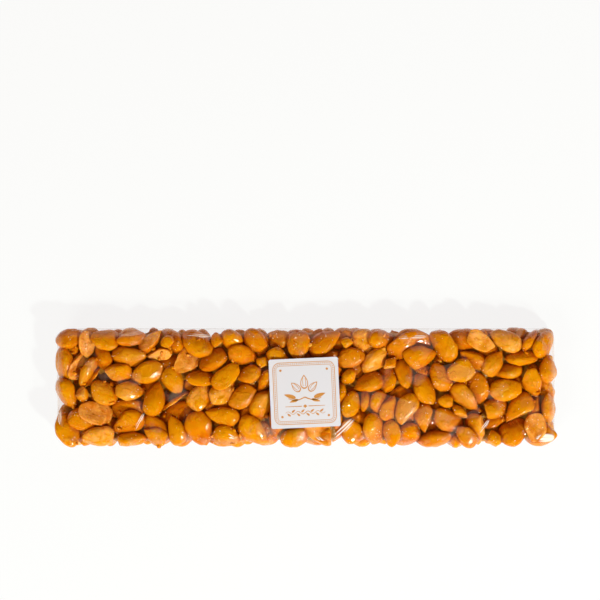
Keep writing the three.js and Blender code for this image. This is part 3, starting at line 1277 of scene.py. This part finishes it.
class Print:
    """Fields and bands of ink, gathered as the points and faces of one flat mesh."""

    def __init__(self):
        self.points = []
        self.faces = []

    def add(self, points, faces):
        shift = len(self.points)
        self.points += [tuple(point) for point in points]
        self.faces += [tuple(corner + shift for corner in face) for face in faces]

    def field(self, outline):
        self.add(outline, [tuple(range(len(outline)))])

    def band(self, outer, inner):
        """A closed band between two outlines with as many points."""
        count = len(outer)
        faces = [(k, (k + 1) % count, count + (k + 1) % count, count + k) for k in range(count)]
        self.add(np.concatenate([outer, inner]), faces)

    def stroke(self, path, widths):
        """An open line along a path, as wide as each of its points says."""
        path = np.array(path, float)
        ways = unit(np.gradient(path, axis=0))
        sides = np.stack([-ways[:, 1], ways[:, 0]], axis=1) * np.array(widths)[:, None] / 2
        count = len(path)
        faces = [(k, k + 1, count + k + 1, count + k) for k in range(count - 1)]
        self.add(np.concatenate([path - sides, path + sides]), faces)


def evenly_along(outline, step):
    """Places along a closed outline, about one step apart."""
    ends = np.roll(outline, -1, axis=0)
    lengths = np.hypot(*(ends - outline).T)
    reached = np.concatenate([[0], np.cumsum(lengths)])
    closed = np.vstack([outline, outline[:1]])
    stops = np.linspace(0, reached[-1], round(reached[-1] / step), endpoint=False)
    return np.stack([np.interp(stops, reached, closed[:, k]) for k in (0, 1)], axis=1)


# The print, in mm from the label's middle.
FRAME_CENTRE = 13.8                        # where the round corners have their centres
FRAME_LINES = ((17.8, 0.4), (16.0, 0.28))  # half side and width
BEAD_ROW = (16.9, 3.1)                     # half side and corner
BEAD_STEP = 1.25
BEAD_RADIUS = 0.35
STUD_PLACE = 13.4
STUD_RADIUS = 0.7
SPRIG_ALMONDS = (                          # turn in radians, middle and length
    (0.0, (0, 6.4), 8.2),
    (0.75, (-5.0, 3.6), 7.2),
    (-0.75, (5.0, 3.6), 7.2),
)
SPRIG_LEAVES = ((1.25, (8.6, -1.6), 7.0), (1.85, (6.4, -4.4), 5.2))
ALMOND_WIDTH = 0.56                        # of the length
LEAF_WIDTH = 0.34
VEIN_WIDTH = 0.34
TWIG_LENGTH = 9.5
TWIG_PLACE = -2.4
TWIG_SAG = 1.6
RULE_PLACE = -7.6
RULE_START = 1.9
RULE_LENGTH = 9.6
LOZENGE = (1.2, 1.1)                       # half width and half height
VINE_PLACE = -11.3
VINE_HALF_LENGTH = 11.5
VINE_LEAVES = 8
VINE_LEAF_START = -9.6
VINE_LEAF_STEP = 2.74
PRINT_THICKNESS = 0.02


def draw_frame(ink):
    """A double frame with a row of beads in it, and a larger bead at each corner."""
    for half, width in FRAME_LINES:
        outer, inner = (
            rounded_square(half + edge, half - FRAME_CENTRE + edge)
            for edge in (width / 2, -width / 2)
        )
        ink.band(outer, inner)
    for bead in evenly_along(rounded_square(*BEAD_ROW), BEAD_STEP):
        ink.field(ring(BEAD_RADIUS, 8) + bead)
    for corner in SQUARE_CORNERS:
        ink.field(ring(STUD_RADIUS, 16) + np.array(corner) * STUD_PLACE)


def draw_sprig(ink):
    """Three almonds on a twig, with a pair of leaves on either side."""
    for turn, middle, length in SPRIG_ALMONDS:
        outline = almond_outline(length, length * ALMOND_WIDTH, turn, (0, 0))
        ink.band(outline + middle, outline * 0.8 + middle)
        for bow in (-0.9, 0.9):
            across = np.linspace(-0.6, 0.55, 9)
            vein = np.stack([bow * (1 - across**2), across * length / 2], axis=1)
            ink.stroke(turned(vein, turn) + middle, [VEIN_WIDTH] * 9)
    for side in (-1, 1):
        for turn, (across, up), length in SPRIG_LEAVES:
            middle = (side * across, up)
            ink.field(almond_outline(length, length * LEAF_WIDTH, -side * turn, middle))
        share = np.linspace(0, 1, 14)
        sag = TWIG_SAG * np.sin(share * np.pi * 0.9)
        twig = np.stack([side * TWIG_LENGTH * share, TWIG_PLACE - sag], axis=1)
        ink.stroke(twig, 0.7 - 0.3 * share)


def draw_rules(ink):
    """Two rules with a lozenge between, over a vine with small leaves."""
    for side in (-1, 1):
        share = np.linspace(0, 1, 12)
        along = side * (RULE_START + RULE_LENGTH * share)
        ink.stroke(np.stack([along, np.full(12, RULE_PLACE)], axis=1), 0.5 - 0.24 * share)
    wide, high = LOZENGE
    lozenge = np.array([(0, high), (-wide, 0), (0, -high), (wide, 0)])
    ink.field(lozenge + (0, RULE_PLACE))
    wave = np.linspace(-1, 1, 61)
    height = VINE_PLACE + 0.8 * np.sin(wave * np.pi * 4)
    ink.stroke(np.stack([VINE_HALF_LENGTH * wave, height], axis=1), 0.42 - 0.2 * abs(wave))
    for order in range(VINE_LEAVES):
        side = 1 if order % 2 else -1
        middle = (VINE_LEAF_START + VINE_LEAF_STEP * order, VINE_PLACE + side * 1.05)
        ink.field(almond_outline(2.5, 1.1, -0.9 * side, middle))


class ALMONDBAR_OT_label(bpy.types.Operator):
    """Add the square paper label and its print"""

    bl_idname = "almondbar.label"
    bl_label = "Add Label"

    def execute(self, context):
        settings = context.scene.almond_label
        middle = (LABEL_LOW + LABEL_HIGH) / 2
        half = settings.thickness / 2
        self.add_paper(settings, Vector((middle.x, middle.y, middle.z - half)))
        self.add_print(settings, Vector((middle.x, middle.y, middle.z + half)))
        return {"FINISHED"}

    @staticmethod
    def add_paper(settings, place):
        deselect_all()
        bpy.ops.mesh.primitive_plane_add(
            size=settings.side, location=place, rotation=(0, 0, settings.turn))
        paper = bpy.context.object
        paper.name = "paper_label"
        place_in_mesh(paper)
        bpy.ops.object.mode_set(mode="EDIT")
        bpy.ops.mesh.select_all(action="SELECT")
        bpy.ops.mesh.bevel(offset=settings.corner, segments=6, affect="VERTICES")
        bpy.ops.mesh.extrude_region_move(
            TRANSFORM_OT_translate={"value": (0, 0, settings.thickness)})
        bpy.ops.mesh.select_all(action="SELECT")
        bpy.ops.mesh.normals_make_consistent(inside=False)
        bpy.ops.object.mode_set(mode="OBJECT")
        finish_piece(paper, label_paper(), LABEL_NODE)

    @staticmethod
    def add_print(settings, place):
        ink = Print()
        draw_frame(ink)
        draw_sprig(ink)
        draw_rules(ink)
        flat = np.array(ink.points)
        points = np.column_stack([flat, np.zeros(len(flat))])
        printed = add_mesh("label_print", points, ink.faces, smooth=False)
        printed.rotation_euler = (0, 0, settings.turn)
        printed.location = place
        place_in_mesh(printed)
        apply_modifier(printed, "SOLIDIFY", thickness=PRINT_THICKNESS * MM, offset=1)
        finish_piece(printed, gold_ink(), LABEL_NODE)


# ---- Stage ----

RENDER_SIDE = 600               # pixels
BAR_MIDDLE = (306.0, 388.5)     # the bar's middle, in pixels from the render's top left corner
PIXELS_PER_MM = 1.7325
LENS = 85.0
SENSOR = 36.0
SOFT_PLACE = (-0.60, -0.87, 0.79)
SOFT_SIZE = (0.70, 0.50)
MIRRORED_SIZE = (0.40, 0.30)    # of the part of the soft light that the gloss mirrors
MIRRORED_SHARE = 0.4
HARD_PLACE = (0.67, -0.77, 0.81)
HARD_SIZE = (0.08, 0.08)
LIGHT_COLOUR = (0.91, 1.0, 0.91)
SKY_COLOUR = (1.0, 0.65, 0.47, 1)
SKY_ABOVE = 0.42                # brightness straight above


class ALMONDBAR_OT_stage(bpy.types.Operator):
    """Add the floor, the lights and the camera"""

    bl_idname = "almondbar.stage"
    bl_label = "Add Stage"

    def execute(self, context):
        settings = context.scene.almond_stage
        self.add_floor(settings)
        self.add_sky(context, settings)
        self.add_light(SOFT_PLACE, SOFT_SIZE, settings.soft_power, mirrored=False)
        self.add_light(SOFT_PLACE, MIRRORED_SIZE, settings.soft_power * MIRRORED_SHARE)
        self.add_light(HARD_PLACE, HARD_SIZE, settings.hard_power)
        self.add_camera(context)
        context.scene.view_settings.view_transform = "Standard"
        return {"FINISHED"}

    @staticmethod
    def add_floor(settings):
        deselect_all()
        bpy.ops.mesh.primitive_plane_add(size=settings.floor)
        floor = bpy.context.object
        floor.name = "floor"
        floor.data.materials.append(pale_floor())

    @staticmethod
    def add_sky(context, settings):
        """Warm surroundings, dimmer above than near the horizon, that the gloss doesn't mirror."""
        world = bpy.data.worlds.new("studio")
        context.scene.world = world
        world.cycles_visibility.glossy = False
        finish = Finish(world, "ShaderNodeOutputWorld")
        way = finish.node("ShaderNodeTexCoord", output="Generated")
        height = finish.node("ShaderNodeSeparateXYZ", {}, {"Vector": way}, output="Z")
        strength = finish.between(height, 0.35, 0.10, SKY_ABOVE, settings.sky)
        sockets = {"Color": SKY_COLOUR, "Strength": strength}
        finish.surface(finish.node("ShaderNodeBackground", {}, sockets))

    @staticmethod
    def add_light(place, size, power, mirrored=True):
        """A rectangular light that faces the bar; one that isn't mirrored only lightens it."""
        place = Vector(place)
        turn = (-place).to_track_quat("-Z", "Y").to_euler()
        bpy.ops.object.light_add(type="AREA", location=place, rotation=turn)
        bpy.context.object.visible_glossy = mirrored
        light = bpy.context.object.data
        light.shape = "RECTANGLE"
        light.size, light.size_y = size
        light.energy = power
        light.color = LIGHT_COLOUR

    @staticmethod
    def add_camera(context):
        """A camera straight above, placed so that the bar's middle falls on its pixel."""
        top = in_mm(context.scene.almond_heap.height) * MM
        middle = RENDER_SIDE / 2
        place = Vector((
            (middle - BAR_MIDDLE[0]) / PIXELS_PER_MM * MM,
            (BAR_MIDDLE[1] - middle) / PIXELS_PER_MM * MM,
            top + RENDER_SIDE * LENS / SENSOR / PIXELS_PER_MM * MM,
        ))
        bpy.ops.object.camera_add(location=place, rotation=(0, 0, 0))
        camera = bpy.context.object
        camera.data.lens = LENS
        camera.data.sensor_width = SENSOR
        context.scene.camera = camera


OPERATORS = (
    ALMONDBAR_OT_almonds,
    ALMONDBAR_OT_caramel,
    ALMONDBAR_OT_film,
    ALMONDBAR_OT_label,
    ALMONDBAR_OT_stage,
)


class ALMONDBAR_PT_panel(bpy.types.Panel):
    """The settings, and a button for each operator"""

    bl_idname = "ALMONDBAR_PT_panel"
    bl_label = "Almond Bar"
    bl_space_type = "VIEW_3D"
    bl_region_type = "UI"
    bl_category = "Almond Bar"

    def draw(self, context):
        for name, group in SETTINGS.items():
            box = self.layout.box()
            settings = getattr(context.scene, name)
            for key in group.__annotations__:
                box.prop(settings, key)
        for operator in OPERATORS:
            self.layout.operator(operator.bl_idname)


CLASSES = (*SETTINGS.values(), *OPERATORS, ALMONDBAR_PT_panel)


def register():
    for each in CLASSES:
        bpy.utils.register_class(each)
    for name, group in SETTINGS.items():
        setattr(bpy.types.Scene, name, bpy.props.PointerProperty(type=group))


def unregister():
    for name in SETTINGS:
        delattr(bpy.types.Scene, name)
    for each in reversed(CLASSES):
        bpy.utils.unregister_class(each)


def main():
    register()
    bpy.ops.almondbar.almonds()
    bpy.ops.almondbar.caramel()
    bpy.ops.almondbar.film()
    bpy.ops.almondbar.label()
    bpy.ops.almondbar.stage()


if __name__ == "__main__":
    main()
